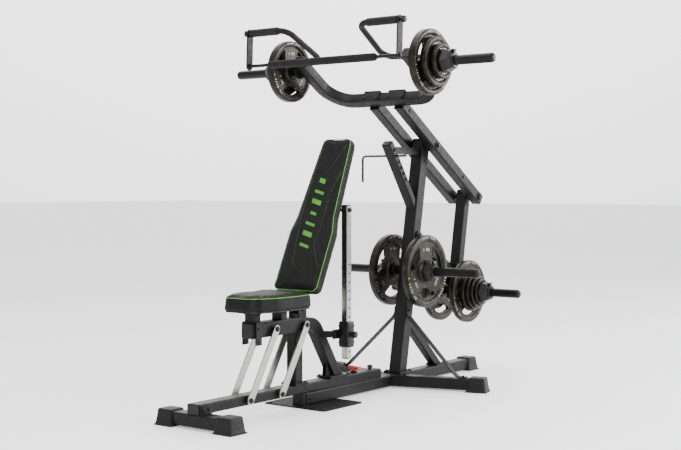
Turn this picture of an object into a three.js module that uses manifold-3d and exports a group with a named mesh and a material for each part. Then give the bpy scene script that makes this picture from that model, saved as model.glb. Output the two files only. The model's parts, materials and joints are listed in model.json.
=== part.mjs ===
// Plate-loaded lever machine with an adjustable bench, in millimetres, +Z up.
// +X is the machine's right side, -Y is its bench end, +Y is its plate end.
import * as THREE from 'three';
import Module from 'manifold-3d';
import { mergeVertices } from 'three/addons/utils/BufferGeometryUtils.js';

const wasm = await Module();
wasm.setup();

// ---------- driving dimensions ----------
const GAP = 0.3;
const ORIGIN_SHIFT_Y = 219.5;

// base frame
const TUBE = 75;
const BASE_BOTTOM = 8;
const BASE_TOP = 70;
const BASE_FRONT = -650;
const BASE_REAR = 962;
const LEG_ROOT_Y = 139;
const LEG_SWEEP = THREE.MathUtils.degToRad(17.6);
const LEG_LENGTH = 520;
const CAP_WALL = 8;
const CAP_OVER = 48;
const CAP_FLARE = 1.2;
const FOOT_PLATE = { halfX: 200, y0: -712, y1: -385, top: 6 };

// upright and what stands on it
const LEAN = THREE.MathUtils.degToRad(10.2);
const UPRIGHT_Y0 = 203.1;
const UPRIGHT_TOP_Z = 1386;
const PIVOT = { y: 453, z: 1356 };
const PIVOT_PIN_R = 12.5;
const HORN = { y: 321, z: 642, tip: 470, r: 25 };
const BRANCH_TOP = { y: 112, z: 1360 };
const BRANCH_FOOT = { y: 372, z: 988 };
const BRANCH_PITCH = 40;
const STOP_HOLE = { y: 159.4, z: 1291.4 };
const TIE_Z = 1323;

// lever
const LEVER_ANGLE = THREE.MathUtils.degToRad(33);
const LEVER_TUBE = 60;
const LEVER_X = 83;
const LEVER_FRONT = -402.7;
const LEVER_REAR = 582;
const REAR_PIVOT_S = 548;
const YOKE_S = -433;
const YOKE_ARM_X = 360;
const YOKE_TIP_S = -745;
const YOKE_BEND = 150;
const YOKE_RISE = 14;
const YOKE_ARM_END = -817;
const HANDLE_PIVOT_S = -792;
const TOP_SLEEVE_TIP = 850;

// handle frame
const GRIP = { y: -478, z: 1947, inner: 205, outer: 488 };
const HANDLE_R = 16;
const CROSSBAR = { y: -485, z: 1770 };

// strut and lower link
const STRUT = { x: 66, y: 58 };
const LINK_DROP = 520;
const STRUT_LENGTH = 617;
const LOW_SLEEVE = { y: 811.4, z: 495, tip: 450 };

// bench
const RAIL = { y0: -1433, y1: 0, z0: BASE_TOP + GAP, z1: 120, x: 76 };
const FRONT_FOOT = { y: -1393, halfX: 196 };
const LINK_A = { y: -1100, z: 95 };
const LINK_B = { y: -865, z: 95 };
const LINK_REACH = { y: 195, z: 327 };
const LINK_X = 56;
const BEAM = { y0: -1060, y1: -640, z0: 385, z1: 460, x: 75 };
const BACK_HINGE = { y: -675, z: 500 };
const BACK_LEAN = THREE.MathUtils.degToRad(25.2);
const BACK_PAD_T = 58;
const POST = { x: 122, y: -426, z0: 232, z1: 1022, side: 38 };
const POST_TOP = { y: -428, z: 1000 };
const CLAMP = { y: -426, z: 357 };
const SEAT = { y0: -1150, y1: -730, z0: 516, z1: 598, half: 160 };
const LOCK_PIN_Y = -200;

// ---------- small geometry kit ----------
const v3 = (x, y, z) => new THREE.Vector3(x, y, z);

function solid(geometry) {
  const bare = geometry.clone();
  for (const key of Object.keys(bare.attributes)) {
    if (key !== 'position') bare.deleteAttribute(key);
  }
  const welded = mergeVertices(bare, 1e-4);
  return new wasm.Manifold(new wasm.Mesh({
    numProp: 3,
    vertProperties: new Float32Array(welded.attributes.position.array),
    triVerts: new Uint32Array(welded.index.array),
  }));
}

const joined = (...parts) => parts.reduce((a, b) => a.add(b));
const cut = (body, ...tools) => tools.reduce((a, b) => a.subtract(b), body);

function box(x0, x1, y0, y1, z0, z1) {
  const g = new THREE.BoxGeometry(x1 - x0, y1 - y0, z1 - z0);
  return solid(g.translate((x0 + x1) / 2, (y0 + y1) / 2, (z0 + z1) / 2));
}

// Closed outline of a w x h rectangle with rounded corners.
function roundRect(w, h, r, steps = 2) {
  const pts = [];
  const corners = [[1, 1, 0], [-1, 1, 90], [-1, -1, 180], [1, -1, 270]];
  for (const [sx, sy, a0] of corners) {
    for (let i = 0; i <= steps; i += 1) {
      const a = THREE.MathUtils.degToRad(a0 + (90 * i) / steps);
      pts.push([sx * (w / 2 - r) + r * Math.cos(a), sy * (h / 2 - r) + r * Math.sin(a)]);
    }
  }
  return pts;
}

function circle(r, steps = 20) {
  return Array.from({ length: steps }, (_, i) => {
    const a = (2 * Math.PI * i) / steps;
    return [r * Math.cos(a), r * Math.sin(a)];
  });
}

const UP_X = v3(1, 0, 0);
const UP_Z = v3(0, 0, 1);
const outline = (pts) => new THREE.Shape(pts.map(([a, b]) => new THREE.Vector2(a, b)));

// Straight length of a section; "up" is the direction of the section's second axis.
function prism(p, q, section, up) {
  const along = q.clone().sub(p);
  const depth = along.length();
  along.normalize();
  const side = new THREE.Vector3().crossVectors(up, along).normalize();
  const top = new THREE.Vector3().crossVectors(along, side);
  const g = new THREE.ExtrudeGeometry(outline(section), { depth, bevelEnabled: false });
  g.applyMatrix4(new THREE.Matrix4().makeBasis(side, top, along).setPosition(p));
  return solid(g);
}

// Passes through given points, which it treats as evenly spaced.
class PointCurve extends THREE.Curve {
  constructor(points) {
    super();
    this.points = points;
  }

  getPoint(t, target = v3(0, 0, 0)) {
    const last = this.points.length - 1;
    const i = Math.min(Math.floor(t * last + 1e-9), last - 1);
    return target.copy(this.points[i]).lerp(this.points[i + 1], t * last - i);
  }

  getPointAt(t, target) {
    return this.getPoint(t, target);
  }

  getTangentAt(t) {
    const last = this.points.length - 1;
    const i = Math.round(t * last);
    const before = this.points[Math.max(i - 1, 0)];
    const after = this.points[Math.min(i + 1, last)];
    return after.clone().sub(before).normalize();
  }
}

// Bent length of a section through points; the section's first axis lies along X where it can.
function sweep(points, section) {
  const extrudePath = new PointCurve(points);
  const steps = points.length - 1;
  return solid(new THREE.ExtrudeGeometry(outline(section), { steps, extrudePath }));
}

const bar = (p, q, w, h, up, r = 6) => prism(p, q, roundRect(w, h, r), up);
const rod = (p, q, r, up, steps = 16) => prism(p, q, circle(r, steps), up);
const rodX = (x0, x1, y, z, r, steps = 16) => rod(v3(x0, y, z), v3(x1, y, z), r, UP_Z, steps);
const rodZ = (x, y, z0, z1, r, steps = 16) => rod(v3(x, y, z0), v3(x, y, z1), r, UP_X, steps);

// Replaces each corner of a polyline by an arc of control points.
function rounded(points, radius, steps = 4) {
  const out = [points[0]];
  for (let i = 1; i + 1 < points.length; i += 1) {
    const corner = points[i];
    const a = points[i - 1].clone().sub(corner);
    const b = points[i + 1].clone().sub(corner);
    const reach = Math.min(radius, a.length() * 0.48, b.length() * 0.48);
    const start = corner.clone().addScaledVector(a.normalize(), reach);
    const end = corner.clone().addScaledVector(b.normalize(), reach);
    const curve = new THREE.QuadraticBezierCurve3(start, corner, end);
    out.push(...curve.getPoints(steps));
  }
  out.push(points[points.length - 1]);
  return out;
}

// Outline in the Y-Z plane (with optional round holes), extruded from x0 to x1.
function sidePlate(outline, x0, x1, holes = []) {
  const shape = new THREE.Shape(outline.map(([y, z]) => new THREE.Vector2(y, z)));
  for (const h of holes) {
    const ring = circle(h.r, 12).map(([a, b]) => new THREE.Vector2(h.y + a, h.z + b));
    shape.holes.push(new THREE.Path(ring));
  }
  const g = new THREE.ExtrudeGeometry(shape, { depth: x1 - x0, bevelEnabled: false });
  const toWorld = new THREE.Matrix4().makeBasis(v3(0, 1, 0), v3(0, 0, 1), v3(1, 0, 0));
  return solid(g.applyMatrix4(toWorld).translate(x0, 0, 0));
}

// Flat link with round ends between two pivots.
function flatLink(a, b, width, x0, x1) {
  const along = Math.atan2(b.z - a.z, b.y - a.y);
  const outline = [];
  for (const [end, turn] of [[a, Math.PI / 2], [b, -Math.PI / 2]]) {
    for (let i = 0; i <= 6; i += 1) {
      const t = along + turn + (Math.PI * i) / 6;
      outline.push([end.y + (width / 2) * Math.cos(t), end.z + (width / 2) * Math.sin(t)]);
    }
  }
  return sidePlate(outline, x0, x1);
}

// Turned part about a lateral axis: profile is [[x, radius], ...] for the +X side.
function turned(profile, y, z, steps = 36) {
  const pts = profile.map(([x, r]) => new THREE.Vector2(r, x));
  const g = new THREE.LatheGeometry([...pts, pts[0].clone()], steps);
  const toWorld = new THREE.Matrix4().makeBasis(v3(0, 1, 0), v3(1, 0, 0), v3(0, 0, -1));
  g.applyMatrix4(toWorld);
  return solid(g.translate(0, y, z));
}

function mirrored(body) {
  return body.mirror([1, 0, 0]);
}

// ---------- materials ----------
const FINISHES = {
  black_steel: { color: 0x1b1c1e, metalness: 0.35, roughness: 0.5 },
  zinc_steel: { color: 0xaeb2a8, metalness: 0.9, roughness: 0.3 },
  chrome_steel: { color: 0xc4c7c9, metalness: 1.0, roughness: 0.18 },
  cast_iron: { color: 0x4a463d, metalness: 0.45, roughness: 0.6 },
  vinyl_pad: { color: 0x2a2b2c, metalness: 0.0, roughness: 0.55 },
  rubber_cap: { color: 0x121212, metalness: 0.0, roughness: 0.85 },
  grip_foam: { color: 0x1a1a1a, metalness: 0.0, roughness: 0.8 },
  black_plastic: { color: 0x151515, metalness: 0.0, roughness: 0.4 },
  red_plastic: { color: 0xa51d1a, metalness: 0.0, roughness: 0.4 },
};

const model = new THREE.Group();
model.name = 't_bar_row';

function place(name, body, finish) {
  const { numProp, vertProperties, triVerts } = body.getMesh();
  const xyz = new Float32Array((vertProperties.length / numProp) * 3);
  for (let i = 0; i < xyz.length / 3; i += 1) {
    for (let k = 0; k < 3; k += 1) xyz[i * 3 + k] = vertProperties[i * numProp + k];
  }
  const g = new THREE.BufferGeometry();
  g.setAttribute('position', new THREE.BufferAttribute(xyz, 3));
  g.setIndex(new THREE.BufferAttribute(new Uint32Array(triVerts), 1));
  g.translate(0, ORIGIN_SHIFT_Y, 0);
  const flat = g.toNonIndexed();
  flat.computeVertexNormals();
  const mesh = new THREE.Mesh(flat, new THREE.MeshStandardMaterial(FINISHES[finish]));
  mesh.name = name;
  model.add(mesh);
}

function placePair(stem, rightBody, finish) {
  place(`${stem}_right`, rightBody, finish);
  place(`${stem}_left`, mirrored(rightBody), finish);
}

// ---------- lines that several parts share ----------
const leanY = Math.tan(LEAN);
const uprightAt = (z) => v3(0, UPRIGHT_Y0 + z * leanY, z);
const leverDir = v3(0, Math.cos(LEVER_ANGLE), -Math.sin(LEVER_ANGLE));
const leverAt = (s, x = 0) => v3(x, PIVOT.y, PIVOT.z).addScaledVector(leverDir, s);
const rearPivot = leverAt(REAR_PIVOT_S);
const strutDir = v3(0, -Math.sin(LEAN), -Math.cos(LEAN));
const linkFront = v3(0, PIVOT.y, PIVOT.z).addScaledVector(strutDir, LINK_DROP);
const linkRear = rearPivot.clone().addScaledVector(strutDir, LINK_DROP);
const yokeTip = leverAt(YOKE_TIP_S);
const leverUp = v3(0, Math.sin(LEVER_ANGLE), Math.cos(LEVER_ANGLE));
const yokeAt = (s, x = 0) => leverAt(s, x).addScaledVector(leverUp, YOKE_RISE);
const handlePivot = yokeAt(HANDLE_PIVOT_S);

// ---------- base frame ----------
function uprightBlank(side) {
  return bar(uprightAt(20), uprightAt(UPRIGHT_TOP_Z), side, side, UP_X);
}

function makeBase() {
  const lockHole = rodZ(0, LOCK_PIN_Y, 30, 90, 8);
  const rail = bar(v3(0, BASE_FRONT, 39), v3(0, BASE_REAR, 39), TUBE, BASE_TOP - BASE_BOTTOM, UP_Z);
  const stub = box(-34, 34, BASE_FRONT - 26, BASE_FRONT + 30, FOOT_PLATE.top + GAP, BASE_TOP);
  place('base_rail', cut(joined(rail, stub), lockHole), 'black_steel');

  const plateY = (FOOT_PLATE.y0 + FOOT_PLATE.y1) / 2;
  const plate = prism(v3(0, plateY, 0), v3(0, plateY, FOOT_PLATE.top),
    roundRect(FOOT_PLATE.y1 - FOOT_PLATE.y0, 2 * FOOT_PLATE.halfX, 18, 3), UP_X);
  place('foot_plate', plate, 'black_steel');

  const dir = v3(Math.cos(LEG_SWEEP), Math.sin(LEG_SWEEP), 0);
  const root = v3(0, LEG_ROOT_Y - Math.tan(LEG_SWEEP) * TUBE / 2, 39);
  const legEnd = root.clone().addScaledVector(dir, LEG_LENGTH);
  const railClear = box(-60, TUBE / 2 + GAP, -400, 600, 0, 200);
  const leg = cut(bar(root, legEnd, TUBE, BASE_TOP - BASE_BOTTOM, UP_Z), railClear);
  placePair('leg', leg, 'black_steel');

  placePair('leg_cap', rubberCap(legEnd, dir), 'rubber_cap');
  place('rear_cap', rubberCap(v3(0, BASE_REAR, 39), v3(0, 1, 0)), 'rubber_cap');
}

// Rubber boot pulled over a tube end: its four sides spread down to a thin sole.
function rubberCap(end, dir) {
  const height = BASE_TOP + CAP_WALL;
  const narrow = TUBE + 2 * CAP_WALL;
  const top = narrow / Math.SQRT2;
  const spread = new THREE.CylinderGeometry(top, top * CAP_FLARE, height, 4);
  const turn = Math.atan2(dir.y, dir.x);
  const centre = end.clone().addScaledVector(dir, 16 - CAP_OVER / 2).setZ(0);
  spread.rotateY(Math.PI / 4).rotateX(Math.PI / 2).rotateZ(turn);
  spread.translate(centre.x, centre.y, height / 2);
  const half = (narrow * CAP_FLARE) / 2 + 6;
  const across = v3(-dir.y, dir.x, 0);
  const from = centre.clone().addScaledVector(across, -half).setZ(2.5);
  const to = centre.clone().addScaledVector(across, half).setZ(2.5);
  const sole = bar(from, to, 2 * half, 5, UP_Z, 2);
  const socketFrom = end.clone().addScaledVector(dir, -CAP_OVER - 60);
  const socketTo = end.clone().addScaledVector(dir, GAP);
  const socket = bar(socketFrom, socketTo, TUBE + 2 * GAP, BASE_TOP - BASE_BOTTOM + 2 * GAP, UP_Z);
  return cut(joined(solid(spread), sole), socket);
}

function makeUpright() {
  const flange = box(-56, 56, 158, 282, BASE_TOP + GAP, BASE_TOP + 10);
  const housing = rodX(-45, 45, PIVOT.y, PIVOT.z, 31, 20);
  const body = cut(
    joined(uprightBlank(TUBE), flange, housing),
    box(-90, 90, 0, 500, 0, BASE_TOP + GAP),
    rodX(-90, 90, PIVOT.y, PIVOT.z, PIVOT_PIN_R + GAP),
    rodX(-90, 90, HORN.y, HORN.z, HORN.r + 1, 20),
    rodX(-90, 90, linkFront.y, linkFront.z, 10.3),
  );
  place('upright', body, 'black_steel');

  const clearUpright = uprightBlank(TUBE + 2 * GAP);
  const clearBase = box(-45, 45, BASE_FRONT, BASE_REAR + 30, 0, BASE_TOP + GAP);
  const brace = bar(v3(0, 262, 392), v3(0, 640, 40), 50, 50, UP_X);
  place('rear_brace', cut(brace, clearUpright, clearBase), 'black_steel');

  const sideBrace = sweep(
    rounded([v3(41.5, 268, 440), v3(41.5, 262, 392), v3(378, 247, 74), v3(430, 263, 74)], 22, 3),
    roundRect(6, 42, 2, 1));
  placePair('side_brace', cut(sideBrace, box(30, 600, 0, 600, 0, BASE_TOP + GAP)), 'black_steel');

  const tie = box(-20, 20, 140, 430, TIE_Z - 20, TIE_Z + 20);
  const branch = bar(v3(0, BRANCH_TOP.y, BRANCH_TOP.z), v3(0, BRANCH_FOOT.y, BRANCH_FOOT.z), 42, 60, UP_X);
  const step = v3(0, BRANCH_FOOT.y - BRANCH_TOP.y, BRANCH_FOOT.z - BRANCH_TOP.z).setLength(BRANCH_PITCH);
  const holes = [-1, 0, 1, 2, 3, 4].map((k) => rodX(
    -50, 50, STOP_HOLE.y + k * step.y, STOP_HOLE.z + k * step.z, 7.2, 14));
  place('stop_branch', cut(joined(branch, tie), clearUpright, ...holes), 'black_steel');

  const pinPath = rounded(
    [v3(96, STOP_HOLE.y, STOP_HOLE.z), v3(-204, STOP_HOLE.y, STOP_HOLE.z), v3(-204, STOP_HOLE.y, 1152)], 22, 4);
  place('stop_pin', sweep(pinPath, circle(6.5, 12)), 'chrome_steel');

  const horn = turned([
    [-HORN.tip, 0], [-HORN.tip, 22], [-HORN.tip + 4, HORN.r], [-93.5, HORN.r], [-93.5, 42], [-82, 42],
    [-82, HORN.r], [82, HORN.r], [82, 42], [93.5, 42], [93.5, HORN.r], [HORN.tip - 4, HORN.r],
    [HORN.tip, 22], [HORN.tip, 0]], HORN.y, HORN.z, 16);
  place('storage_horn', horn, 'black_steel');

  const pin = turned([
    [-126, 0], [-126, 18], [-122, 22], [-113.6, 22], [-113.6, PIVOT_PIN_R], [113.6, PIVOT_PIN_R],
    [113.6, 22], [122, 22], [126, 18], [126, 0]], PIVOT.y, PIVOT.z, 16);
  place('main_pivot_pin', pin, 'zinc_steel');
}

// ---------- plates and collars (built on the +X side) ----------
function kidneyWindow(inner, outer, middle, spread) {
  const pts = [];
  for (let i = 0; i <= 4; i += 1) {
    const a = THREE.MathUtils.degToRad(middle - spread + (2 * spread * i) / 4);
    pts.push([outer * Math.cos(a), outer * Math.sin(a)]);
  }
  for (let i = 4; i >= 0; i -= 1) {
    const a = THREE.MathUtils.degToRad(middle - spread * 0.62 + (2 * spread * 0.62 * i) / 4);
    pts.push([inner * Math.cos(a), inner * Math.sin(a)]);
  }
  return pts;
}

// Cast plate: thick rim and hub, thin web, three hand windows.
function gripPlate(radius, x0, x1, y, z) {
  const web = (x1 - x0) * 0.24;
  const rim = radius * 0.86;
  const hub = radius * 0.3;
  const disc = turned([
    [x0, 25.8], [x0, hub], [x0 + web, hub + 6], [x0 + web, rim - 6], [x0, rim], [x0, radius],
    [x1, radius], [x1, rim], [x1 - web, rim - 6], [x1 - web, hub + 6], [x1, hub], [x1, 25.8]],
  y, z, 28);
  const windows = [30, 150, 270].map((angle) => {
    const ring = kidneyWindow(radius * 0.45, radius * 0.77, angle, 33);
    return sidePlate(ring.map(([a, b]) => [y + a, z + b]), x0 - 5, x1 + 5);
  });
  return cut(disc, ...windows);
}

// Plain cast plate with a raised rim and hub.
function plainPlate(radius, x0, x1, y, z) {
  const web = (x1 - x0) * 0.2;
  const rim = radius * 0.84;
  const hub = 25.8 + (radius - 25.8) * 0.3;
  return turned([
    [x0, 25.8], [x0, radius], [x1, radius], [x1, rim], [x1 - web, rim - 4], [x1 - web, hub + 4],
    [x1, hub], [x1, 25.8]], y, z, 20);
}

function collar(x0, x1, y, z) {
  const body = turned([
    [x0, 25.6], [x0, 50], [x0 + 12, 50], [x0 + 14, 43], [x1, 43], [x1, 25.6]], y, z, 16);
  const lever = bar(v3(x0 + 22, y, z + 42), v3(x1 - 6, y, z + 56), 26, 12, v3(0, 0, 1), 3);
  return joined(body, lever);
}

function makePlates() {
  placePair('storage_plate', gripPlate(205, 94, 134, HORN.y, HORN.z), 'cast_iron');
  placePair('storage_collar', collar(134.5, 187, HORN.y, HORN.z), 'black_plastic');
  const { y, z } = yokeTip;
  placePair('top_plate_large', gripPlate(170, 445, 489, y, z), 'cast_iron');
  placePair('top_plate_medium', plainPlate(130, 489.5, 527, y, z), 'cast_iron');
  placePair('top_plate_small', plainPlate(90, 527.5, 557, y, z), 'cast_iron');
  placePair('top_collar', collar(557.5, 624, y, z), 'black_plastic');
  placePair('low_plate_large', gripPlate(186, 80, 112, LOW_SLEEVE.y, LOW_SLEEVE.z), 'cast_iron');
  const small = turned([
    [112.5, 25.8], [112.5, 118], [138, 118], [138, 106], [163, 106], [163, 92], [184, 92], [184, 76],
    [203, 76], [203, 25.8]], LOW_SLEEVE.y, LOW_SLEEVE.z, 28);
  placePair('low_plates_small', small, 'cast_iron');
  placePair('low_collar', collar(203.5, 262, LOW_SLEEVE.y, LOW_SLEEVE.z), 'black_plastic');
}

// ---------- lever, yoke and handles ----------
function makeLever() {
  const tube = cut(
    bar(leverAt(LEVER_FRONT, LEVER_X), leverAt(LEVER_REAR, LEVER_X), LEVER_TUBE, LEVER_TUBE, UP_X),
    rodX(40, 130, PIVOT.y, PIVOT.z, PIVOT_PIN_R + GAP),
    rodX(40, 130, rearPivot.y, rearPivot.z, 10.3),
  );
  placePair('lever_tube', tube, 'black_steel');

  const path = [];
  const cx = YOKE_ARM_X - YOKE_BEND;
  path.push([-YOKE_ARM_X, YOKE_ARM_END]);
  for (let i = 0; i <= 6; i += 1) {
    const a = Math.PI / 2 * (i / 6);
    path.push([-cx - YOKE_BEND * Math.cos(a), YOKE_S - YOKE_BEND + YOKE_BEND * Math.sin(a)]);
  }
  for (let i = 6; i >= 0; i -= 1) {
    const a = Math.PI / 2 * (i / 6);
    path.push([cx + YOKE_BEND * Math.cos(a), YOKE_S - YOKE_BEND + YOKE_BEND * Math.sin(a)]);
  }
  path.push([YOKE_ARM_X, YOKE_ARM_END]);
  const bow = sweep(path.map(([x, s]) => yokeAt(s, x)), roundRect(LEVER_TUBE, LEVER_TUBE, 7));
  const bores = [1, -1].map((side) => rodX(
    side > 0 ? 320 : -362, side > 0 ? 362 : -320, handlePivot.y, handlePivot.z, HANDLE_R + GAP, 24));
  place('yoke', cut(bow, ...bores), 'black_steel');

  const sleeve = turned([
    [390.4, 0], [390.4, 34], [400, 34], [400, 25], [432, 25], [432, 44], [444.5, 44], [444.5, 25],
    [TOP_SLEEVE_TIP - 4, 25], [TOP_SLEEVE_TIP, 22], [TOP_SLEEVE_TIP, 0]], yokeTip.y, yokeTip.z, 16);
  placePair('top_sleeve', sleeve, 'black_steel');
}

function makeHandles() {
  const path = rounded([
    v3(358, handlePivot.y, handlePivot.z), v3(GRIP.inner, handlePivot.y, handlePivot.z),
    v3(235, GRIP.y, GRIP.z), v3(GRIP.outer, GRIP.y, GRIP.z)], 75, 6);
  placePair('handle', sweep(path, circle(HANDLE_R, 14)), 'black_steel');

  const link = cut(
    flatLink(GRIP, CROSSBAR, 44, GRIP.outer + GAP, GRIP.outer + 8),
    rodX(480, 510, CROSSBAR.y, CROSSBAR.z, 9 + GAP, 16),
  );
  placePair('link_bar', link, 'black_steel');

  const end = GRIP.outer + 16;
  const crossbar = turned([
    [-end, 0], [-end, 9], [-350, 9], [-350, 17], [-344, 20], [344, 20], [350, 17], [350, 9], [end, 9],
    [end, 0]], CROSSBAR.y, CROSSBAR.z, 20);
  place('crossbar', crossbar, 'grip_foam');
}

// ---------- strut and lower link ----------
function makeStrut() {
  const top = rearPivot.clone().addScaledVector(strutDir, -36);
  const foot = rearPivot.clone().addScaledVector(strutDir, STRUT_LENGTH);
  const pin = turned([
    [-124, 0], [-124, 16], [-113.6, 16], [-113.6, 10], [113.6, 10], [113.6, 16], [124, 16], [124, 0]],
  rearPivot.y, rearPivot.z, 16);
  const joint = box(-38.4, 38.4, LOW_SLEEVE.y - 32, LOW_SLEEVE.y + 70, 612, 662);
  const strut = cut(
    joined(bar(top, foot, STRUT.y, STRUT.x, UP_X), pin, joint),
    rodX(-90, 90, linkRear.y, linkRear.z, 10.3),
    rodX(-90, 90, LOW_SLEEVE.y, LOW_SLEEVE.z, 26),
  );
  place('strut', strut, 'black_steel');

  const low = turned([
    [-LOW_SLEEVE.tip, 0], [-LOW_SLEEVE.tip, 20], [6 - LOW_SLEEVE.tip, 25], [-79, 25], [-79, 42],
    [-68, 42], [-68, 25], [68, 25], [68, 42], [79, 42], [79, 25], [LOW_SLEEVE.tip - 6, 25],
    [LOW_SLEEVE.tip, 20], [LOW_SLEEVE.tip, 0]], LOW_SLEEVE.y, LOW_SLEEVE.z, 20);
  place('low_sleeve', low, 'black_steel');

  const middle = linkFront.clone().lerp(linkRear, 0.5);
  const ladder = joined(
    flatLink(linkFront, linkRear, 44, 39, 47),
    flatLink(linkFront, linkRear, 44, -47, -39),
    rodX(-44, 44, middle.y, middle.z, 14),
    rodX(-50, 50, linkFront.y, linkFront.z, 10),
    rodX(-50, 50, linkRear.y, linkRear.z, 10),
  );
  place('lower_link', ladder, 'black_steel');
}

// ---------- bench ----------
function makeBenchBase() {
  const rail = cut(
    bar(v3(0, RAIL.y0, (RAIL.z0 + RAIL.z1) / 2), v3(0, RAIL.y1, (RAIL.z0 + RAIL.z1) / 2),
      RAIL.x, RAIL.z1 - RAIL.z0, UP_Z),
    rodX(-60, 60, LINK_A.y, LINK_A.z, 8.4, 16),
    rodX(-60, 60, LINK_B.y, LINK_B.z, 8.4, 16),
    rodZ(0, LOCK_PIN_Y, 60, 140, 8),
  );
  place('bench_rail', rail, 'black_steel');

  const footEnd = v3(FRONT_FOOT.halfX, FRONT_FOOT.y, 39);
  place('front_foot', bar(v3(-FRONT_FOOT.halfX, FRONT_FOOT.y, 39), footEnd, TUBE, 62, UP_Z), 'black_steel');
  placePair('foot_cap', rubberCap(footEnd, v3(1, 0, 0)), 'rubber_cap');

  const pin = turned([[-70, 0], [-70, 7.4], [0, 7.4], [0, 12], [14, 12], [14, 17], [34, 15], [38, 9], [38, 0]],
    0, 0, 20);
  const upright = pin.rotate([0, -90, 0]).translate([0, LOCK_PIN_Y, RAIL.z1 + GAP]);
  place('bench_lock_pin', upright, 'red_plastic');
}

function linkPair(a) {
  const b = { y: a.y + LINK_REACH.y, z: a.z + LINK_REACH.z };
  return joined(
    flatLink(a, b, 40, LINK_X - 4, LINK_X + 4),
    flatLink(a, b, 40, -LINK_X - 4, -LINK_X + 4),
    rodX(-LINK_X - 12, LINK_X + 12, a.y, a.z, 8, 16),
    rodX(-LINK_X - 12, LINK_X + 12, b.y, b.z, 8, 16),
  );
}

function makeBenchFrame() {
  const mid = (BEAM.z0 + BEAM.z1) / 2;
  const beam = bar(v3(0, BEAM.y0, mid), v3(0, BEAM.y1, mid), BEAM.x, BEAM.z1 - BEAM.z0, UP_Z);
  const post = bar(v3(0, -700, BEAM.z0 + 10), v3(0, -700, RAIL.z1 + GAP), 60, 60, UP_X);
  const postFoot = box(-48, 48, -750, -650, RAIL.z1 + GAP, RAIL.z1 + 10);
  const legPath = rounded([v3(0, -660, mid), v3(0, -560, mid), v3(0, -364, 114)], 80, 6);
  const leg = sweep(legPath, roundRect(60, 62, 6));
  const legFoot = box(-48, 48, -462, -292, RAIL.z1 + GAP, RAIL.z1 + 11);
  const clearRail = box(-60, 60, RAIL.y0, RAIL.y1 + 20, 0, RAIL.z1 + GAP);
  const arm = bar(v3(14, -508, CLAMP.z), v3(86, -468, CLAMP.z), 34, 34, UP_Z);
  const armTab = box(76, 86, -486, -404, CLAMP.z - 24, CLAMP.z + 24);
  const clampStub = rodX(84, 98, CLAMP.y, CLAMP.z, 8, 16);
  const risers = [[-1042, -1000], [-840, -798]].map(([y0, y1]) => box(-32, 32, y0, y1, BEAM.z1 - 5, SEAT.z0 - GAP));
  const ears = [[24, 34], [-34, -24]].map(([x0, x1]) => box(x0, x1, -706, -646, BEAM.z1 - 5, 526));
  const backPin = rodX(-40, 40, BACK_HINGE.y, BACK_HINGE.z, 8, 16);
  const saddle = joined(
    box(-47, 47, -1046, -1006, BEAM.z1 - 2, BEAM.z1 + 6),
    box(38.5, 47, -1046, -1006, 352, BEAM.z1 + 6),
    box(-47, -38.5, -1046, -1006, 352, BEAM.z1 + 6),
  );
  const bores = [LINK_A, LINK_B].map((p) => rodX(
    -48, 48, p.y + LINK_REACH.y, p.z + LINK_REACH.z, 8.4, 16));
  const body = cut(joined(beam, post, postFoot, leg, legFoot, arm, armTab, ...risers, ...ears, saddle),
    clearRail, ...bores);
  place('bench_frame', joined(body, clampStub, backPin), 'black_steel');
  place('front_links', linkPair(LINK_A), 'zinc_steel');
  place('rear_links', linkPair(LINK_B), 'zinc_steel');
}

function makePads() {
  const length = SEAT.y1 - SEAT.y0;
  const yMid = (SEAT.y0 + SEAT.y1) / 2;
  const halfAt = (t) => SEAT.half - 60 * Math.max(0, 0.35 - t) / 0.35;
  const seatOutline = padOutline(length, halfAt, 46);
  const seat = prism(v3(0, yMid, SEAT.z0), v3(0, yMid, SEAT.z1), seatOutline, UP_X);
  place('seat_pad', seat, 'vinyl_pad');

  const backUp = v3(0, Math.sin(BACK_LEAN), Math.cos(BACK_LEAN));
  const backOut = v3(0, -Math.cos(BACK_LEAN), Math.sin(BACK_LEAN));
  const hinge = v3(0, BACK_HINGE.y, BACK_HINGE.z);
  const frameLow = hinge.clone().addScaledVector(backUp, -22);
  const frameHigh = hinge.clone().addScaledVector(backUp, 790);
  const spine = bar(frameLow, frameHigh, 40, 40, UP_X);
  const cross = [150, 690].map((s) => {
    const c = hinge.clone().addScaledVector(backUp, s).addScaledVector(backOut, 18.5);
    const from = c.clone().addScaledVector(backUp, -35);
    const to = c.clone().addScaledVector(backUp, 35);
    return bar(from, to, 5, 170, UP_X, 2);
  });
  const postPin = rodX(10, 148, POST_TOP.y, POST_TOP.z, 8, 16);
  const frame = joined(
    cut(joined(spine, ...cross), rodX(-40, 40, BACK_HINGE.y, BACK_HINGE.z, 8.4, 16)), postPin);
  place('back_frame', frame, 'black_steel');

  const padBase = hinge.clone().addScaledVector(backOut, 21.4);
  const low = 65;
  const high = 940;
  const narrowing = (t) => Math.min(Math.max((t - 0.38) / 0.1, 0), 1);
  const widthAt = (t) => 150 - 20 * narrowing(t) - 28 * Math.max(0, t - 0.48) / 0.52;
  const backOutline = padOutline(high - low, widthAt, 40);
  const middle = padBase.clone().addScaledVector(backUp, (low + high) / 2);
  const face = middle.clone().addScaledVector(backOut, BACK_PAD_T);
  const back = prism(middle, face, backOutline, UP_X);
  place('back_pad', back, 'vinyl_pad');
}

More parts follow.
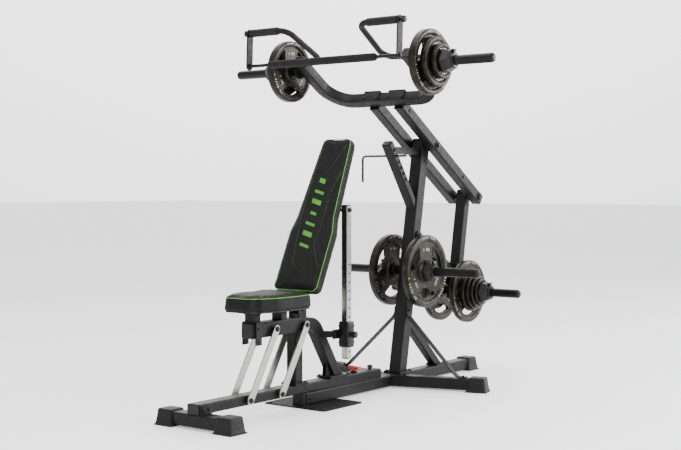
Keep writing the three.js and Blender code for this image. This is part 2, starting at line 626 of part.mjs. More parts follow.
// Pad outline as a sweep section; its half width follows widthAt(0..1) from the low end.
function padOutline(length, widthAt, corner) {
  const side = [];
  for (let i = 0; i <= 4; i += 1) {
    const a = Math.PI / 2 * (i / 4);
    side.push([corner * (1 - Math.cos(a)), widthAt(0) - corner + corner * Math.sin(a)]);
  }
  for (let i = 1; i < 8; i += 1) {
    const t = i / 8;
    if (t * length > corner + 8 && t * length < length - corner - 8) side.push([t * length, widthAt(t)]);
  }
  for (let i = 0; i <= 4; i += 1) {
    const a = Math.PI / 2 * (i / 4);
    side.push([length - corner + corner * Math.sin(a), widthAt(1) - corner + corner * Math.cos(a)]);
  }
  const right = side.map(([along, across]) => [along - length / 2, across]);
  const left = right.map(([along, across]) => [along, -across]).reverse();
  return [...right, ...left].map(([along, across]) => [-along, across]);
}

function makePost() {
  const half = POST.side / 2;
  const bars = bar(v3(POST.x, POST.y, POST.z0), v3(POST.x, POST.y, POST.z1), POST.side, POST.side, UP_X, 4);
  const holes = [];
  for (let z = CLAMP.z - 90; z < 760; z += 45) holes.push(rodX(90, 160, POST.y, z, 6, 8));
  const topBore = rodX(90, 160, POST_TOP.y, POST_TOP.z, 8.4, 16);
  place('adjusting_post', cut(bars, topBore, ...holes), 'chrome_steel');

  const shell = bar(v3(POST.x, CLAMP.y, CLAMP.z - 66), v3(POST.x, CLAMP.y, CLAMP.z + 66), 66, 62, UP_X, 7);
  const opening = bar(v3(POST.x, CLAMP.y, CLAMP.z - 80), v3(POST.x, CLAMP.y, CLAMP.z + 80),
    2 * half + 9, 2 * half + 5, UP_X, 2);
  const sleeve = cut(shell, opening, rodX(60, 110, CLAMP.y, CLAMP.z, 8.4, 16), rodX(130, 170, CLAMP.y, CLAMP.z, 6, 12));
  place('clamp_sleeve', sleeve, 'black_plastic');

  const pin = turned([[141.4, 0], [141.4, 4.6], [153.4, 4.6], [153.4, 11], [162, 11], [162, 15], [180, 17], [186, 12],
    [186, 0]], CLAMP.y, CLAMP.z, 20);
  place('clamp_pin', pin, 'black_plastic');
}

makeBase();
makeUpright();
makePlates();
makeLever();
makeHandles();
makeStrut();
makeBenchBase();
makeBenchFrame();
makePads();
makePost();

export default model;
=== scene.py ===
import json
import math
from dataclasses import dataclass

import bpy
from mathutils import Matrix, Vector
from mathutils.bvhtree import BVHTree

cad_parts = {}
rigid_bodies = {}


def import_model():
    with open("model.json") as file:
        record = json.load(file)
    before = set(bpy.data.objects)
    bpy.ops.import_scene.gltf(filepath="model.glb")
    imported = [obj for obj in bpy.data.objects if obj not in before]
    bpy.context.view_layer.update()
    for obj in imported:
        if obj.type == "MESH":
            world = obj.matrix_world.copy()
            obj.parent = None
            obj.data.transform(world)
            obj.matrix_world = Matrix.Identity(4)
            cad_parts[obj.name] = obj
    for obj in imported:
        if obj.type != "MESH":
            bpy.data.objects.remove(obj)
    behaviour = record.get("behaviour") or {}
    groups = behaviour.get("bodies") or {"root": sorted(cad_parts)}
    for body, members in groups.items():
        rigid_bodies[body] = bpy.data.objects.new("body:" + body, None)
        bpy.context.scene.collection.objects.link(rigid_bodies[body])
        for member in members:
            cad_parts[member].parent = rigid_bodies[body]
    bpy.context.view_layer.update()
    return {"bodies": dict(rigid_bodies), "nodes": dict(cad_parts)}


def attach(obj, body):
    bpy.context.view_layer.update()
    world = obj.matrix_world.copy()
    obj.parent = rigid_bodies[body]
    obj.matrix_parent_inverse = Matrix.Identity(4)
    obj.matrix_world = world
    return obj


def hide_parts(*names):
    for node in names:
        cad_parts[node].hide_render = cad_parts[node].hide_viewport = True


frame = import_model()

MM = 0.001
SHIFT = Vector((0, 219.5, 0))        # from part.mjs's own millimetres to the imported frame


def v(x, y, z):
    return Vector((x, y, z))


X, Y, Z = v(1, 0, 0), v(0, 1, 0), v(0, 0, 1)

# ---------- the CAD's lines and points, in part.mjs's millimetres ----------
LEAN = math.radians(10.2)
LEVER_ANGLE = math.radians(33)
BACK_LEAN = math.radians(25.2)
LEG_SWEEP = math.radians(17.6)
PIVOT = v(0, 453, 1356)
HORN = v(0, 321, 642)
LOW = v(0, 811.4, 495)
LEVER_DIR = v(0, math.cos(LEVER_ANGLE), -math.sin(LEVER_ANGLE))
LEVER_UP = v(0, math.sin(LEVER_ANGLE), math.cos(LEVER_ANGLE))
LEAN_UP = v(0, math.sin(LEAN), math.cos(LEAN))
BACK_UP = v(0, math.sin(BACK_LEAN), math.cos(BACK_LEAN))
BACK_OUT = v(0, -math.cos(BACK_LEAN), math.sin(BACK_LEAN))
BACK_HINGE = v(0, -675, 500)
GRIP = v(488, -478, 1947)
CROSS = v(0, -485, 1770)
FRONT_LINK_FOOT = v(0, -1100, 95)
REAR_LINK_FOOT = v(0, -865, 95)
LINK_REACH = v(0, 195, 327)
BENCH_LOCK = v(0, -200, 120)
CLAMP = v(122, -426, 357)
POST_TOP = v(122, -428, 1000)
STOP_HOLE = v(0, 159.4, 1291.4)
BRANCH_DIR = v(0, 260, -372).normalized()
BRANCH_TOP = v(0, 112, 1360)
BRANCH_FOOT = v(0, 372, 988)


def lever_at(s, x=0, up=0):
    return PIVOT + LEVER_DIR * s + LEVER_UP * up + X * x


def upright_at(z):
    return v(0, 203.1 + z * math.tan(LEAN), z)


def mirror(p):
    return v(-p.x, p.y, p.z)


LEVER_X = 83
LEVER_END = 582
REAR = lever_at(548)
TIP = lever_at(-745)
YOKE_S = -433
YOKE_X = 360
YOKE_RISE = 14
YOKE_ARM_END = -817
HANDLE_PIVOT = lever_at(-792, up=YOKE_RISE)
STRUT_DROP = 520
LINK_FRONT = PIVOT - LEAN_UP * STRUT_DROP
LINK_REAR = REAR - LEAN_UP * STRUT_DROP
SLEEVE_RADIUS = 25
PLATE_BORE = 26.5
SHARP_ANGLE = math.radians(32)


# ---------- materials ----------
def grey(level):
    return (level, level, level)


class Finish:
    """A node material under construction."""

    def __init__(self, name, metallic=0.0, roughness=0.5):
        self.material = bpy.data.materials.new(name)
        self.material.use_nodes = True
        self.tree = self.material.node_tree
        self.shader = self.tree.nodes["Principled BSDF"]
        self.feed(self.shader.inputs["Metallic"], metallic)
        self.feed(self.shader.inputs["Roughness"], roughness)
        self.coord = self.node("TexCoord", out="Object")

    def feed(self, socket, value):
        if isinstance(value, bpy.types.NodeSocket):
            self.tree.links.new(value, socket)
        else:
            socket.default_value = value

    def node(self, kind, inputs=None, out=0, **props):
        made = self.tree.nodes.new("ShaderNode" + kind)
        for key, value in props.items():
            setattr(made, key, value)
        for key, value in (inputs or {}).items():
            self.feed(made.inputs[key], value)
        return made.outputs[out]

    def noise(self, scale, detail=3.0, vector=None):
        inputs = {"Vector": vector or self.coord, "Scale": scale, "Detail": detail}
        return self.node("TexNoise", inputs)

    def cells(self, scale, feature="F1"):
        return self.node("TexVoronoi", {"Vector": self.coord, "Scale": scale}, feature=feature)

    def math(self, operation, a, b=0.0):
        return self.node("Math", {0: a, 1: b}, operation=operation)

    def spread(self, value, low, high, start=0.3, end=0.7):
        inputs = {0: value, 1: start, 2: end, 3: low, 4: high}
        return self.node("MapRange", inputs)

    def colour(self, value, *stops):
        """Base colour from a ramp of (place, colour) stops."""
        made = self.tree.nodes.new("ShaderNodeValToRGB")
        elements = made.color_ramp.elements
        for k, (place, colour) in enumerate(stops):
            element = elements[k] if k < 2 else elements.new(place)
            element.position = place
            element.color = (*colour, 1)
        self.feed(made.inputs["Fac"], value)
        self.feed(self.shader.inputs["Base Color"], made.outputs["Color"])

    def rough(self, value, low, high):
        self.feed(self.shader.inputs["Roughness"], self.spread(value, low, high))

    def relief(self, height, depth, edge=0.0, strength=1.0):
        inputs = {"Height": height, "Distance": depth, "Strength": strength}
        if edge:
            inputs["Normal"] = self.node("Bevel", {"Radius": edge}, samples=4)
        self.feed(self.shader.inputs["Normal"], self.node("Bump", inputs))

    def set(self, **values):
        for key, value in values.items():
            self.feed(self.shader.inputs[key.replace("_", " ")], value)
        return self.material


def powder_coat(name, dark, light, rough=(0.4, 0.54)):
    made = Finish(name)
    patches = made.noise(7, 4)
    peel = made.noise(620, 2)
    made.colour(patches, (0.35, dark), (0.68, light))
    made.rough(made.noise(38, 5), *rough)
    made.relief(peel, 0.00035, edge=0.0022, strength=0.55)
    return made.set(Specular_IOR_Level=0.17)


def drawn_metal(name, dark, light, rough, along):
    made = Finish(name, metallic=1.0)
    stretched = made.node("Mapping", {"Vector": made.coord, "Scale": along})
    lines = made.noise(1, 4, stretched)
    made.colour(lines, (0.3, dark), (0.7, light))
    made.rough(made.noise(60, 4), *rough)
    made.relief(lines, 0.00006, edge=0.0012, strength=0.5)
    return made.set(Specular_IOR_Level=0.5)


def hammertone(name):
    made = Finish(name, metallic=0.72)
    blotch = made.noise(26, 5)
    dimples = made.cells(330)
    soft = made.math("ADD", made.math("MULTIPLY", dimples, 0.7), made.noise(900, 2))
    made.colour(blotch, (0.3, (0.008, 0.0065, 0.0042)), (0.55, (0.019, 0.0158, 0.011)),
                (0.8, (0.042, 0.036, 0.026)))
    made.rough(made.noise(120, 4), 0.3, 0.46)
    made.relief(soft, 0.0006, edge=0.002, strength=0.6)
    return made.set(Coat_Weight=0.05, Coat_Roughness=0.2, Specular_IOR_Level=0.25)


def vinyl(name):
    made = Finish(name)
    grain = made.cells(640, "DISTANCE_TO_EDGE")
    pores = made.math("ADD", made.spread(grain, 0.0, 1.0, 0.0, 0.22), made.noise(1500, 2))
    made.colour(made.noise(16, 5), (0.3, (0.003, 0.003, 0.0034)), (0.75, (0.0075, 0.0075, 0.0082)))
    made.rough(made.noise(70, 4), 0.52, 0.66)
    made.relief(pores, 0.00035, strength=0.5)
    return made.set(Specular_IOR_Level=0.15)


def moulded(name, dark, light, rough, grain=900, depth=0.0002):
    made = Finish(name)
    made.colour(made.noise(20, 4), (0.3, dark), (0.75, light))
    made.rough(made.noise(90, 4), *rough)
    made.relief(made.noise(grain, 3), depth, edge=0.0012, strength=0.5)
    return made.set(Specular_IOR_Level=0.22)


def tread_plate(name):
    made = Finish(name, metallic=0.2)
    diagonal = {"Vector": made.coord, "Rotation": (0, 0, math.radians(45))}
    split = made.tree.nodes.new("ShaderNodeSeparateXYZ")
    made.feed(split.inputs[0], made.node("Mapping", diagonal))
    waves = [made.math("SINE", made.math("MULTIPLY", split.outputs[k], 330)) for k in range(2)]
    lozenge = made.spread(made.math("MULTIPLY", *waves), 0.0, 1.0, 0.35, 0.7)
    made.colour(lozenge, (0.0, (0.009, 0.009, 0.0095)), (1.0, (0.03, 0.03, 0.031)))
    made.rough(made.noise(80, 4), 0.6, 0.8)
    made.relief(made.math("ADD", lozenge, made.math("MULTIPLY", made.noise(700), 0.2)), 0.0012)
    return made.set(Specular_IOR_Level=0.12)


POWDER = powder_coat("satin_powder_coat", (0.003, 0.003, 0.0034), (0.0062, 0.0062, 0.0066))
SLEEVE = powder_coat("sleeve_enamel", (0.003, 0.003, 0.0034), (0.006, 0.006, 0.0064), (0.26, 0.4))
ZINC = drawn_metal("satin_zinc", (0.24, 0.245, 0.23), (0.46, 0.465, 0.44), (0.3, 0.44), (40, 900, 900))
CHROME = drawn_metal("polished_chrome", (0.22, 0.22, 0.2), (0.36, 0.36, 0.335), (0.14, 0.26), (900, 900, 30))
PIN_STEEL = drawn_metal("pin_steel", grey(0.04), grey(0.11), (0.22, 0.36), (300, 300, 60))
IRON = hammertone("hammertone_iron")
MARK = drawn_metal("worn_raised_marks", (0.4, 0.385, 0.345), (0.62, 0.6, 0.55), (0.35, 0.5), (300, 300, 300))
VINYL = vinyl("grained_vinyl")
PIPING = moulded("green_piping", (0.045, 0.27, 0.008), (0.075, 0.36, 0.015), (0.4, 0.55), 1400)
PRINT = moulded("green_print", (0.04, 0.24, 0.012), (0.06, 0.31, 0.02), (0.5, 0.62), 1800)
THREAD = moulded("olive_thread", (0.06, 0.15, 0.02), (0.12, 0.24, 0.04), (0.6, 0.8), 3000)
RUBBER = moulded("moulded_rubber", grey(0.004), grey(0.009), (0.5, 0.68), 500, 0.0004)
FOAM = moulded("grip_foam", grey(0.006), grey(0.013), (0.78, 0.92), 1100, 0.0007)
PLASTIC = moulded("black_plastic", (0.004, 0.004, 0.0045), (0.009, 0.009, 0.0095), (0.3, 0.45))
RED = moulded("red_plastic", (0.42, 0.012, 0.008), (0.62, 0.03, 0.015), (0.2, 0.32), 700, 0.0001)
BOARD = moulded("pad_board", grey(0.01), (0.02, 0.019, 0.018), (0.5, 0.7), 260, 0.0004)
BOLT = powder_coat("black_oxide", grey(0.006), (0.016, 0.015, 0.014), (0.28, 0.42))
TREAD = tread_plate("tread_plate")
TRIM = (POWDER, BOLT, PLASTIC)


# ---------- mesh kit ----------
def to_frame(p):
    return (p + SHIFT) * MM


def square_to(axis):
    """Two directions square to an axis and to each other."""
    side = (Z if abs(axis.z) < 0.9 else Y).cross(axis).normalized()
    return side, axis.cross(side)


def round_rect(w, h, r, steps=4):
    points = []
    for turn, (cx, cy) in enumerate([(1, 1), (-1, 1), (-1, -1), (1, -1)]):
        for i in range(steps + 1):
            a = math.pi / 2 * (turn + i / steps)
            points.append((cx * (w / 2 - r) + r * math.cos(a), cy * (h / 2 - r) + r * math.sin(a)))
    return points


def circle(r, steps=24):
    turns = [2 * math.pi * i / steps for i in range(steps)]
    return [(r * math.cos(a), r * math.sin(a)) for a in turns]


def around(centre, radius, count):
    """Points a quarter of a radian apart around the X axis."""
    return [centre + v(0, radius * math.cos(i / 4), radius * math.sin(i / 4)) for i in range(count)]


def there_and_back(profile):
    """A profile followed by its mirror image."""
    return profile + [(-a, r) for a, r in reversed(profile)]


def bent(points, radius, steps):
    """Rounds each corner of a polyline to a circular arc."""
    path = [points[0]]
    for before, corner, after in zip(points, points[1:], points[2:]):
        a = (before - corner).normalized()
        b = (after - corner).normalized()
        half = a.angle(b) / 2
        room = min((before - corner).length, (after - corner).length) * 0.48
        reach = min(radius / math.tan(half), room)
        centre = corner + (a + b).normalized() * (reach / math.cos(half))
        start = corner + a * reach - centre
        end = corner + b * reach - centre
        sweep = start.angle(end)
        for i in range(steps + 1):
            t = i / steps
            part = (math.sin((1 - t) * sweep) * start + math.sin(t * sweep) * end) / math.sin(sweep)
            path.append(centre + part)
    return path + [points[-1]]


class Shape:
    """Gathers solids and patches, in part.mjs's millimetres, into one mesh."""

    def __init__(self):
        self.points = []
        self.faces = []
        self.slots = []

    def skin(self, rings, slot=0, loop=False, caps=True):
        """Joins rings of points; `loop` also joins the last one to the first."""
        base, count = len(self.points), len(rings[0])
        for ring in rings:
            self.points += ring
        last = len(rings) - 1
        made = []
        for k in range(len(rings) if loop else last):
            low, high = base + k * count, base + (k + 1) % len(rings) * count
            for i in range(count):
                j = (i + 1) % count
                made.append([low + i, low + j, high + j, high + i])
        if caps and not loop:
            made.append([base + i for i in reversed(range(count))])
            made.append([base + last * count + i for i in range(count)])
        self.faces += made
        self.slots += [slot] * len(made)
        return self

    def turned(self, profile, centre, axis, steps, slot=0):
        """Lathe about an axis; a profile that starts on the axis is capped, any other closes on itself."""
        side, up = square_to(axis)
        rings = []
        for a, radius in profile:
            if radius > 0:
                rings.append([centre + axis * a + side * p + up * q for p, q in circle(radius, steps)])
        return self.skin(rings, slot, loop=profile[0][1] > 0)

    def rod(self, at, axis, start, end, radius, bore=0, steps=24, slot=0):
        """Cylinder between two places along an axis, or a ring when it has a bore."""
        profile = [(start, bore), (start, radius), (end, radius), (end, bore)]
        return self.turned(profile, at, axis, steps, slot)

    def bush(self, at, axis, places, radii, steps=36, slot=0):
        """Ring with soft edges: four places along the axis; bore, shoulder and rim radius."""
        start, rise, fall, end = places
        bore, shoulder, rim = radii
        profile = [(start, bore), (start, shoulder), (rise, rim), (fall, rim), (end, shoulder), (end, bore)]
        return self.turned(profile, at, axis, steps, slot)

    def sweep(self, path, section, normal, caps=True, scales=None):
        """Section carried along a path; its first axis keeps to the given direction."""
        rings = []
        for i, point in enumerate(path):
            ahead = (path[min(i + 1, len(path) - 1)] - path[max(i - 1, 0)]).normalized()
            a = (normal - ahead * normal.dot(ahead)).normalized()
            b = ahead.cross(a)
            k = scales[i] if scales else 1
            rings.append([point + a * p * k + b * q * k for p, q in section])
        return self.skin(rings, caps=caps)

    def bar(self, p, q, w, h, side, r, chamfer=1.2, slot=0):
        """Straight bar with rounded long edges and chamfered ends; w is measured along side."""
        ahead = (q - p).normalized()
        a = (side - ahead * side.dot(ahead)).normalized()
        b = ahead.cross(a)
        rings = []
        for at, inset in [(p, chamfer), (p + ahead * chamfer, 0), (q - ahead * chamfer, 0), (q, chamfer)]:
            section = round_rect(w - 2 * inset, h - 2 * inset, max(r - inset, 0.4))
            rings.append([at + a * s + b * t for s, t in section])
        return self.skin(rings, slot)

    def end_plug(self, at, way, w, h, r=5, chamfer=1.5, slot=2, depth=4):
        """Plastic plug standing on the open end of a tube."""
        return self.bar(at, at + way * depth, w, h, X, r, chamfer, slot)

    def block(self, x0, x1, y0, y1, z0, z1, r):
        p = v((x0 + x1) / 2, (y0 + y1) / 2, z0)
        return self.bar(p, v(p.x, p.y, z1), x1 - x0, y1 - y0, X, r, min(1.2, (z1 - z0) / 4))

    def plate(self, outline, side, t0, t1):
        """Flat plate: an outline of points, given thickness along side, with 1 mm chamfers."""
        middle = sum(outline, v(0, 0, 0)) / len(outline)
        inner = [p + (middle - p).normalized() for p in outline]
        edges = ((inner, t0), (outline, t0 + 1), (outline, t1 - 1), (inner, t1))
        return self.skin([[p + side * t for p in points] for points, t in edges])

    def link(self, p, q, width, t0, t1):
        """Flat bar with round ends, between two distances along X."""
        ahead = (q - p).normalized()
        across = X.cross(ahead)
        outline = []
        for end, sense in ((q, 1), (p, -1)):
            for i in range(17):
                a = math.pi * (i / 16 - 0.5)
                outline.append(end + (ahead * math.cos(a) + across * math.sin(a)) * (sense * width / 2))
        return self.plate(outline, X, t0, t1)

    def bolt(self, at, axis, size, slot=1):
        """Washer and hexagon head, standing on the face at `at`."""
        wide = size * 1.28
        self.turned([(0, 0), (0, wide), (1.4, wide), (2, wide - 0.7), (2, 0)], at, axis, 28, slot)
        top = 2 + size * 0.62
        head = [(2, 0), (2, size), (2 + size * 0.496, size), (top, size * 0.84), (top, 0)]
        return self.turned(head, at, axis, 6, slot)

    def bolts(self, rows, axis):
        """One bolt for each x, y, z and size."""
        for x, y, z, size in rows:
            self.bolt(v(x, y, z), axis, size)
        return self

    def button(self, at, axis, size, slot=1):
        """Low domed screw head with a socket."""
        dome = [(0, 0), (0, 1), (0.25, 0.97), (0.5, 0.76), (0.58, 0.5), (0.58, 0.42), (0.2, 0.36), (0.2, 0)]
        return self.turned([(a * size, r * size) for a, r in dome], at, axis, 28, slot)

    def knob(self, at, axis, radius, depth, slot=0):
        """Six-lobed hand knob on a short neck."""
        self.rod(at, axis, 0, depth * 0.3, radius * 0.45, slot=slot)
        side, up = square_to(axis)
        rings = []
        for k, grow in ((0.28, 0.8), (0.36, 0.97), (0.55, 1.0), (0.82, 0.96), (0.95, 0.82), (1.0, 0.55)):
            ring = []
            for i in range(48):
                a = 2 * math.pi * i / 48
                r = radius * grow * (1 + 0.09 * math.cos(6 * a))
                ring.append(at + axis * (depth * k) + side * r * math.cos(a) + up * r * math.sin(a))
            rings.append(ring)
        return self.skin(rings, slot)

    def weld(self, corners, radius, closed=True):
        """Rippled weld bead along a chain of points."""
        chain = corners + [corners[0]] if closed else corners
        for p, q in zip(chain, chain[1:]):
            count = max(int((q - p).length / 2.2), 2)
            path = [p.lerp(q, i / count) for i in range(count + 1)]
            scales = [1 + 0.22 * math.cos(math.pi * i) + 0.06 * math.sin(i * 2.7) for i in range(count + 1)]
            normal = X if abs((q - p).normalized().x) < 0.8 else Z
            self.sweep(path, circle(radius, 8), normal, scales=scales)
        return self

    def weld_frame(self, centre, a, b, radius=2.8):
        """Weld bead around a rectangle with half sides a and b."""
        return self.weld([centre - a - b, centre + a - b, centre + a + b, centre - a + b], radius)

    def mirrored(self):
        made = Shape()
        made.points = [mirror(p) for p in self.points]
        made.faces = [list(reversed(face)) for face in self.faces]
        made.slots = list(self.slots)
        return made

    def doubled(self):
        """Adds the mirror image of all gathered so far."""
        other = self.mirrored()
        first = len(self.points)
        self.points += other.points
        self.faces += [[first + i for i in face] for face in other.faces]
        self.slots += other.slots
        return self

    def object(self, name, *finishes):
        mesh = bpy.data.meshes.new(name)
        mesh.from_pydata([to_frame(p) for p in self.points], [], self.faces)
        for finish in finishes:
            mesh.materials.append(finish)
        for face, slot in zip(mesh.polygons, self.slots):
            face.material_index = slot
            face.use_smooth = True
        mesh.validate()
        mesh.set_sharp_from_angle(angle=SHARP_ANGLE)
        made = bpy.data.objects.new(name, mesh)
        bpy.context.scene.collection.objects.link(made)
        return made

    def place(self, name, body, *finishes, replaces=(), slot="black_steel"):
        made = self.object(name, *finishes)
        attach(made, body)
        if replaces:
            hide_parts(*replaces)


def place_pair(stem, shape, bodies, *finishes, replaces, slot="black_steel"):
    """Places a +X shape and its mirror image; `bodies` and `replaces` are stems for the two sides."""
    for side, made in (("right", shape), ("left", shape.mirrored())):
        own = bodies + "_" + side
        body = own if own in frame["bodies"] else bodies
        nodes = [node + "_" + side for node in replaces]
        made.place(stem + "_" + side, body, *finishes, replaces=nodes, slot=slot)


def applied(made):
    """Bakes an object's modifiers into its mesh."""
    bpy.context.view_layer.update()
    seen = made.evaluated_get(bpy.context.evaluated_depsgraph_get())
    baked = bpy.data.meshes.new_from_object(seen)
    made.modifiers.clear()
    made.data = baked
    return made


# ---------- plates, sleeves and collars ----------
WINDOW_ANGLES = (30, 150, 270)


def kidney(radius, angle, centre, x):
    """Hand window outline: two arcs joined by round ends."""
    outer, inner, half_angle = radius * 0.77, radius * 0.45, 33
    end = [(outer * r, k) for r, k in ((0.975, 1.0), (0.9, 0.98), (0.78, 0.85), (0.71, 0.74))]
    spots = [(outer, 0.94 * (i / 7 - 1)) for i in range(15)] + end
    spots += [(inner, 0.6 * (1 - i / 5)) for i in range(11)] + [(r, -k) for r, k in reversed(end)]
    points = []
    for r, k in spots:
        a = math.radians(angle + half_angle * k)
        points.append(centre + v(x, r * math.cos(a), r * math.sin(a)))
    return points


def plate_profile(radius, x0, x1, rim, hub, web):
    """Cast disc section from bore to rim and back, with soft corners."""
    near = [(0, PLATE_BORE), (0, hub - 4), (2.5, hub), (web, hub + 7), (web, rim - 8), (2, rim - 1),
            (0, rim + 3), (0, radius - 5), (1.8, radius - 1.6), (5, radius)]
    return [(x0 + a, r) for a, r in near] + [(x1 - a, r) for a, r in reversed(near)]


def rim_marks(shape, centre, faces, radius, length, groups, per_group, step):
    """Groups of short raised bars, where a real plate has its lettering."""
    for x, sense in faces:
        for group in range(groups):
            for k in range(per_group):
                if (k * 3 + group) % 5 == 4:
                    continue
                a = math.radians(90 + group * 360 / groups + (k - (per_group - 1) / 2) * step)
                out = v(0, math.cos(a), math.sin(a))
                p = centre + out * (radius - length / 2) + X * x
                q = centre + out * (radius + length / 2) + X * x
                shape.bar(p, q, 2.4 * sense, 3.4, X, 0.8, 0.5, slot=1)


def disc_with_windows(stem, disc, windows):
    """The disc with its hand windows cut out, read back as a Shape."""
    blank = disc.object(stem + "_blank", IRON)
    cutter = windows.object(stem + "_windows", IRON)
    cut = blank.modifiers.new("cut", "BOOLEAN")
    cut.object = cutter
    cut.solver = "EXACT"
    applied(blank)
    made = Shape()
    made.points = [vert.co / MM - SHIFT for vert in blank.data.vertices]
    made.faces = [list(face.vertices) for face in blank.data.polygons]
    made.slots = [0] * len(made.faces)
    bpy.data.objects.remove(blank)
    bpy.data.objects.remove(cutter)
    return made


def grip_plate(stem, node, body, radius, x0, x1, centre):
    web = (x1 - x0) * 0.26
    disc = Shape().turned(plate_profile(radius, x0, x1, radius * 0.86, radius * 0.3, web), centre, X, 96)
    windows = Shape()
    for angle in WINDOW_ANGLES:
        windows.skin([kidney(radius, angle, centre, x) for x in (x0 - 10, x1 + 10)])
    made = disc_with_windows(stem, disc, windows)
    for angle in WINDOW_ANGLES:
        for x in (x0 + web, x1 - web):
            lip = kidney(radius, angle, centre, x)
            made.sweep(lip + lip[:2], circle(2.6, 8), X)
    rim_marks(made, centre, [(x1 - 0.2, 1), (x0 + 0.2, -1)], radius * 0.93, radius * 0.06, 3, 9, 5.2)
    rim_marks(made, centre, [(x1 - web, 1), (x0 + web, -1)], radius * 0.6, radius * 0.08, 3, 5, 6)
    place_pair(stem, made, body, IRON, MARK, replaces=[node], slot="cast_iron")


def plain_plate(shape, radius, x0, x1, centre):
    hub = PLATE_BORE + (radius - PLATE_BORE) * 0.3
    web = (x1 - x0) * 0.2
    shape.turned(plate_profile(radius, x0, x1, radius * 0.84, hub, web), centre, X, 80)
    rim_marks(shape, centre, [(x1 - web, 1)], radius * 0.72, radius * 0.07, 2, 7, 9)


def collar(x0, x1, centre):
    """Spring clamp: a six-sided slanted flange on a ring, with a cam lever and its pivot screws."""
    cone = [(x0, 30), (x0, 64), (x0 + 3, 67), (x0 + 11, 67), (x1 - 12, 46), (x1 - 10, 43), (x1 - 10, 30)]
    shape = Shape().turned(cone, centre, X, 6)
    shape.turned([(x0 + 1, 25.6), (x0 + 1, 40), (x1 - 3, 40), (x1, 37.5), (x1, 25.6)], centre, X, 56)
    low, high = centre + v(x0 + 16, 0, 43), centre + v(x1 - 4, 0, 52)
    shape.bar(low, high, 28, 15, Y, 4)
    shape.bar(low + v(4, 0, 8), high + v(-2, 0, 2), 20, 6, Y, 2)
    for way in (Y, -Y):
        shape.button(centre + v((x0 + x1) / 2, 0, 48) + way * 14, way, 6)
    return shape


def build_weights():
    # radius, inner face and outer face of each plate
    for stem, node, body, centre, sizes in (
            ("storage_plate_look", "storage_plate", "storage", HORN, (205, 94, 134)),
            ("top_plate_look", "top_plate_large", "top_stack", TIP, (170, 445, 489)),
            ("low_plate_look", "low_plate_large", "low_stack", LOW, (186, 80, 112))):
        grip_plate(stem, node, body, *sizes, centre)
    top = ((130, 489.5, 527), (90, 527.5, 557))
    low = ((118, 112.5, 137.8), (106, 138, 162.8), (92, 163, 183.8), (76, 184, 203))
    for stem, nodes, body, centre, plates in (
            ("top_small_plates", ["top_plate_medium", "top_plate_small"], "top_stack", TIP, top),
            ("low_small_plates", ["low_plates_small"], "low_stack", LOW, low)):
        stack = Shape()
        for sizes in plates:
            plain_plate(stack, *sizes, centre)
        place_pair(stem, stack, body, IRON, MARK, slot="cast_iron", replaces=nodes)
    for node, body, x0, x1, centre in (("storage_collar", "storage", 134.5, 187, HORN),
                                       ("top_collar", "top_stack", 557.5, 624, TIP),
                                       ("low_collar", "low_stack", 203.5, 262, LOW)):
        place_pair(node + "_look", collar(x0, x1, centre), body, PLASTIC, ZINC, slot="black_plastic",
                   replaces=[node])


def weight_sleeve(start, tip, centre):
    """Weight sleeve from `start` to a domed tip."""
    turns = [a / 8 * 1.45 for a in range(9)]
    dome = [(tip - 16 + 16 * math.sin(a), SLEEVE_RADIUS * (0.42 + 0.58 * math.cos(a))) for a in turns]
    profile = [(start, 0), (start, SLEEVE_RADIUS), *dome, (dome[-1][0], 0)]
    return Shape().turned(profile, centre, X, 56)


def build_sleeves():
    for stem, body, start, tip, centre, node in (("storage", "base", 82, 470, HORN, "storage_horn"),
                                                 ("low", "strut_body", 68, 450, LOW, "low_sleeve")):
        made = weight_sleeve(0, tip, centre)
        flange = [start + a for a in (0, 1.6, 9.9, 11.5)]
        made.bush(centre, X, flange, (SLEEVE_RADIUS, 40, 42), 56)
        made.weld(around(centre + X * (start - 1), 27, 26), 2)
        made.doubled().place(stem + "_sleeve_look", body, SLEEVE, replaces=[node])
    top = weight_sleeve(391, 850, TIP)
    top.bush(TIP, X, (391, 392.4, 403, 404.6), (SLEEVE_RADIUS, 42, 44), 56)
    place_pair("top_sleeve_look", top, "lever", SLEEVE, replaces=["top_sleeve"])


# ---------- lever, yoke and handles ----------
def build_yoke():
    corner = lever_at(YOKE_S, YOKE_X, YOKE_RISE)
    end = lever_at(YOKE_ARM_END, YOKE_X, YOKE_RISE)
    yoke = Shape().end_plug(end, -LEVER_DIR, 58, 58, 6, 1.6, slot=1)
    yoke.bolt(lever_at(-690, YOKE_X, 30 + YOKE_RISE), LEVER_UP, 7, slot=2)
    yoke.turned([(0, 26), (0, 33), (1.4, 34), (3, 33), (3, 26)], TIP + X * (YOKE_X + 30), X, 40)
    yoke.doubled()
    path = bent([mirror(end), mirror(corner), corner, end], 150, 18)
    yoke.sweep(path, round_rect(60, 60, 7), LEVER_UP)
    yoke.place("yoke_look", "lever", POWDER, PLASTIC, BOLT, replaces=["yoke"])


